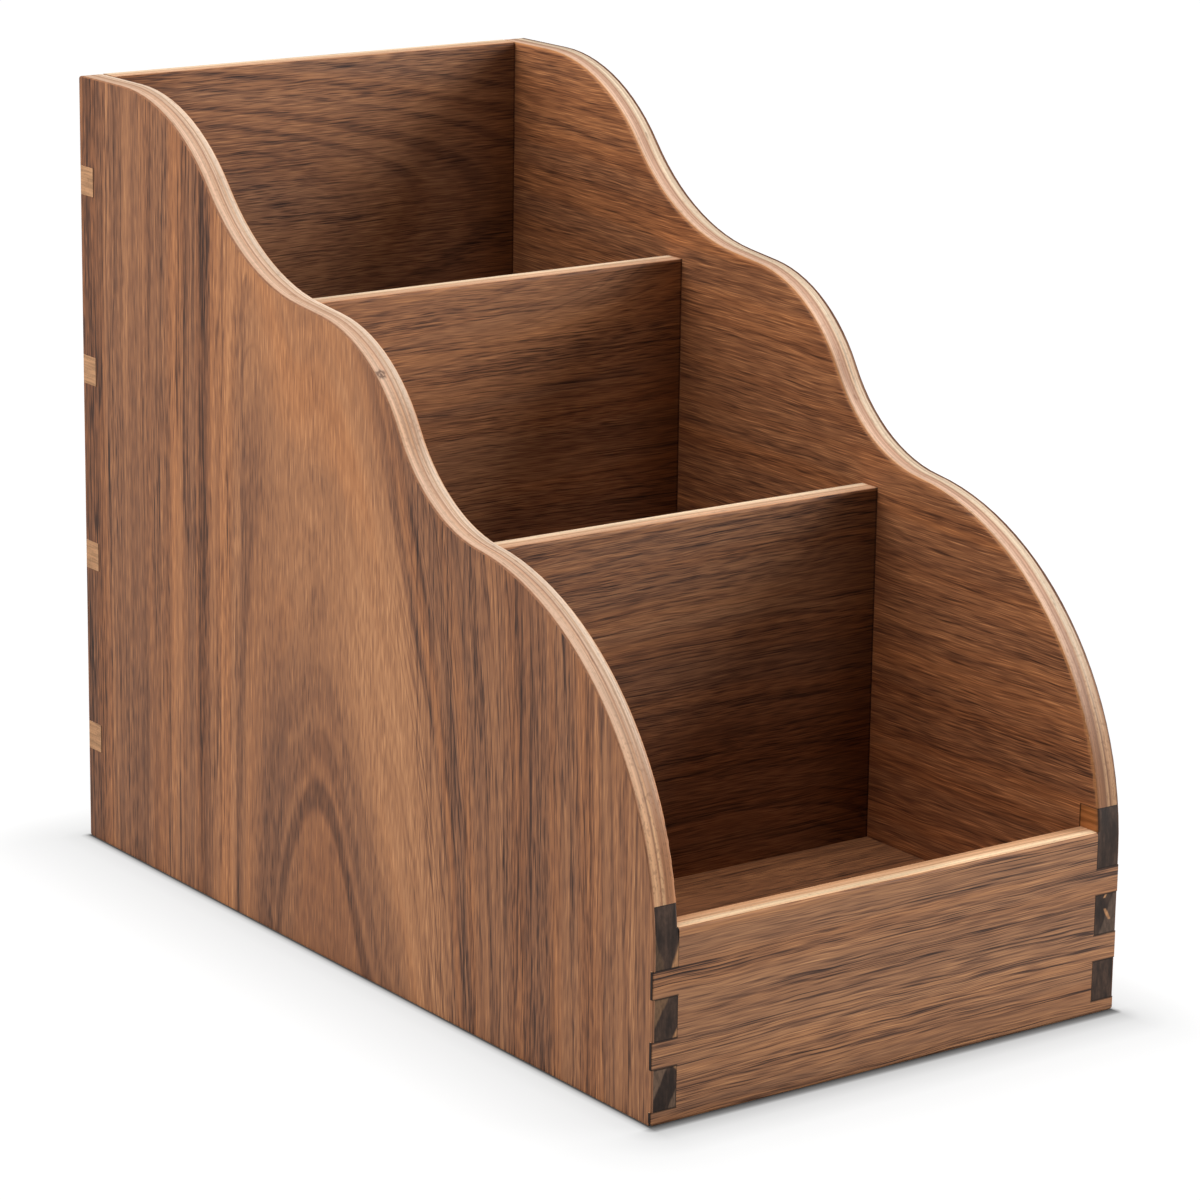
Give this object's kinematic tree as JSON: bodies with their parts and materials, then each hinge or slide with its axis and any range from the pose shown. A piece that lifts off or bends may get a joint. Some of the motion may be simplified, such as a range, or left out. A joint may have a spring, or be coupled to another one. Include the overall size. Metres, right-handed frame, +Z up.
{
  "type": "document organizer",
  "caption": "Free-standing desk organizer of walnut-veneered plywood with stepped open bays, wavy sides, a low front board and finger-jointed corners.",
  "frame": {"origin": "middle of the base, on the plane that the organizer stands on", "axes": "+Z up, +Y towards the high back, -Y towards the low front board, +X to the right seen from the front"},
  "size_m": [0.2406, 0.44, 0.355],
  "materials": {
    "walnut_veneer": "satin oiled walnut veneer",
    "plywood_core": "sanded pale plywood edge",
    "walnut_block": "satin dark walnut end grain"
  },
  "bodies": {
    "root": {"left_side_core": "plywood_core", "left_side_outer_veneer": "walnut_veneer", "left_side_inner_veneer": "walnut_veneer", "left_side_finger_block": "walnut_block", "right_side_core": "plywood_core", "right_side_outer_veneer": "walnut_veneer", "right_side_inner_veneer": "walnut_veneer", "right_side_finger_block": "walnut_block", "back_core": "plywood_core", "back_outer_veneer": "walnut_veneer", "back_inner_veneer": "walnut_veneer", "front_core": "plywood_core", "front_outer_veneer": "walnut_veneer", "front_inner_veneer": "walnut_veneer", "floor_core": "plywood_core", "floor_top_veneer": "walnut_veneer", "floor_bottom_veneer": "walnut_veneer", "front_divider_core": "plywood_core", "front_divider_front_veneer": "walnut_veneer", "front_divider_rear_veneer": "walnut_veneer", "rear_divider_core": "plywood_core", "rear_divider_front_veneer": "walnut_veneer", "rear_divider_rear_veneer": "walnut_veneer"}
  },
  "joints": []
}
